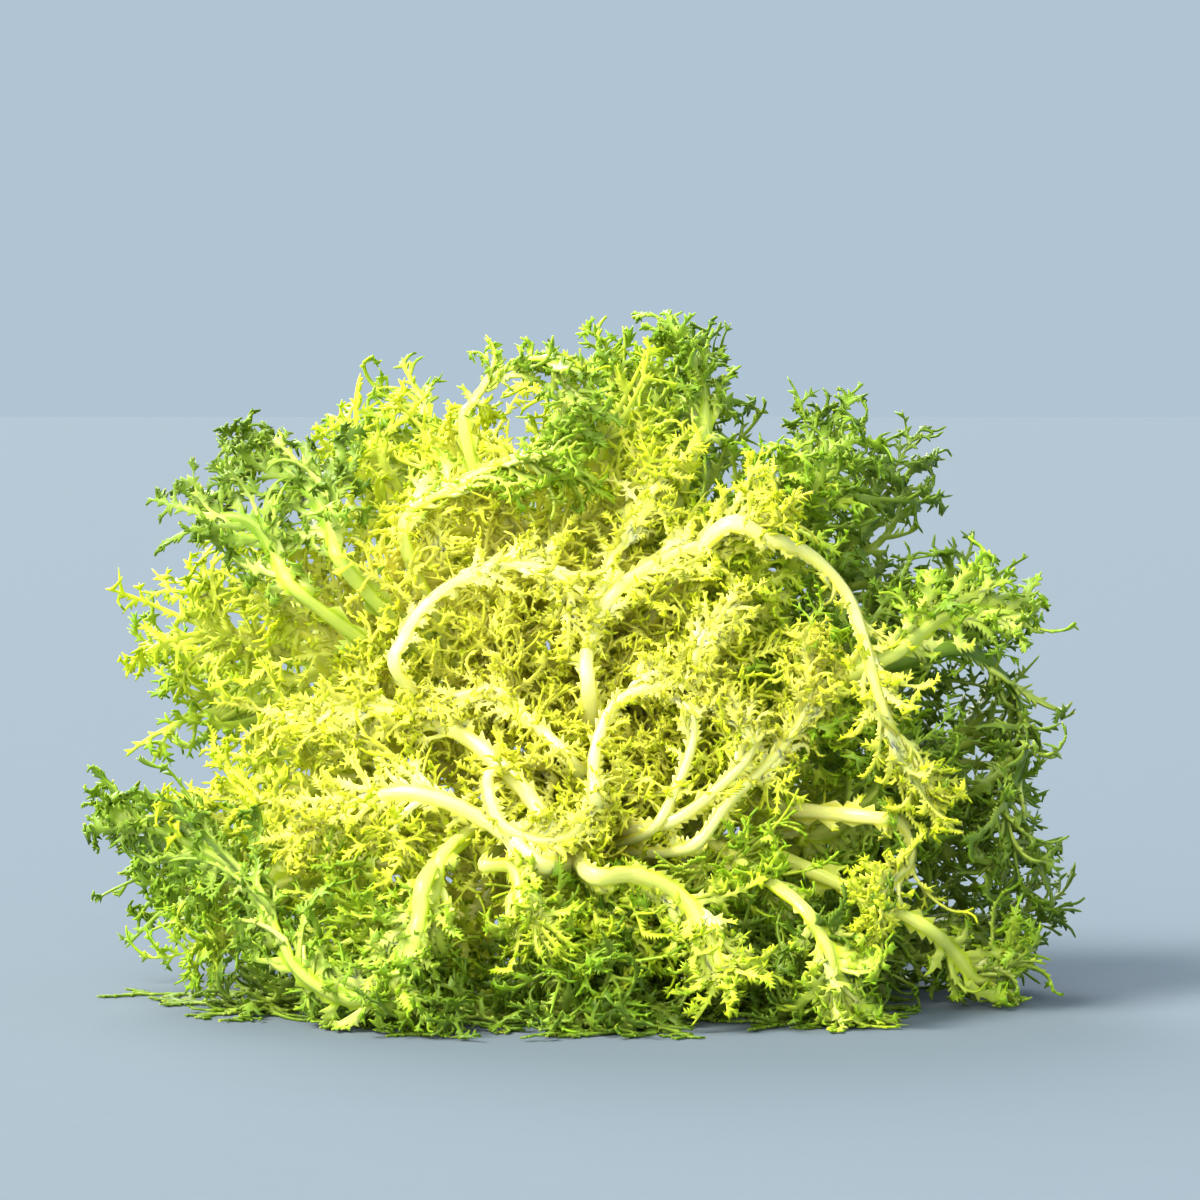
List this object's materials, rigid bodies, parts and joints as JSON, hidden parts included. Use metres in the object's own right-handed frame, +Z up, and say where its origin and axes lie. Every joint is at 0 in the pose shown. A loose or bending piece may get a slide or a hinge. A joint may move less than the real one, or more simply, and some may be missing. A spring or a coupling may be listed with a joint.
{
  "type": "curly endive head",
  "caption": "Whole head of curly endive, cut at its root and laid on its side: whorls of finely cut, curled leaves round a pale yellow heart and a short stem.",
  "frame": {"origin": "on the floor under the middle of the head's bounding box", "axes": "+Z up from the floor it lies on; -Y is where the open heart faces; +X to the right as the heart is looked at, along the head's widest spread"},
  "size_m": [0.2948, 0.195, 0.207],
  "materials": {
    "stem": "moist pale cut stem",
    "outer_leaf": "satin fresh green leaf with a pale rib",
    "middle_leaf": "satin yellow-green leaf with a white rib",
    "heart_leaf": "satin pale yellow blanched leaf with a white rib"
  },
  "bodies": {
    "root": {"stem": "stem", "outer_leaf_01": "outer_leaf", "outer_leaf_02": "outer_leaf", "outer_leaf_03": "outer_leaf", "outer_leaf_04": "outer_leaf", "outer_leaf_05": "outer_leaf", "outer_leaf_06": "outer_leaf", "outer_leaf_07": "outer_leaf", "outer_leaf_08": "outer_leaf", "outer_leaf_09": "outer_leaf", "outer_leaf_10": "outer_leaf", "outer_leaf_11": "outer_leaf", "second_leaf_01": "outer_leaf", "second_leaf_02": "outer_leaf", "second_leaf_03": "outer_leaf", "second_leaf_04": "outer_leaf", "second_leaf_05": "outer_leaf", "second_leaf_06": "outer_leaf", "second_leaf_07": "outer_leaf", "second_leaf_08": "outer_leaf", "second_leaf_09": "outer_leaf", "second_leaf_10": "outer_leaf", "second_leaf_11": "outer_leaf", "third_leaf_01": "middle_leaf", "third_leaf_02": "middle_leaf", "third_leaf_03": "middle_leaf", "third_leaf_04": "middle_leaf", "third_leaf_05": "middle_leaf", "third_leaf_06": "middle_leaf", "third_leaf_07": "middle_leaf", "third_leaf_08": "middle_leaf", "third_leaf_09": "middle_leaf", "third_leaf_10": "middle_leaf", "fourth_leaf_01": "middle_leaf", "fourth_leaf_02": "middle_leaf", "fourth_leaf_03": "middle_leaf", "fourth_leaf_04": "middle_leaf", "fourth_leaf_05": "middle_leaf", "fourth_leaf_06": "middle_leaf", "fourth_leaf_07": "middle_leaf", "fourth_leaf_08": "middle_leaf", "fourth_leaf_09": "middle_leaf", "inner_leaf_01": "heart_leaf", "inner_leaf_02": "heart_leaf", "inner_leaf_03": "heart_leaf", "inner_leaf_04": "heart_leaf", "inner_leaf_05": "heart_leaf", "inner_leaf_06": "heart_leaf", "inner_leaf_07": "heart_leaf", "heart_leaf_01": "heart_leaf", "heart_leaf_02": "heart_leaf", "heart_leaf_03": "heart_leaf", "heart_leaf_04": "heart_leaf", "heart_leaf_05": "heart_leaf", "bud_leaf_01": "heart_leaf", "bud_leaf_02": "heart_leaf", "bud_leaf_03": "heart_leaf"}
  },
  "joints": []
}
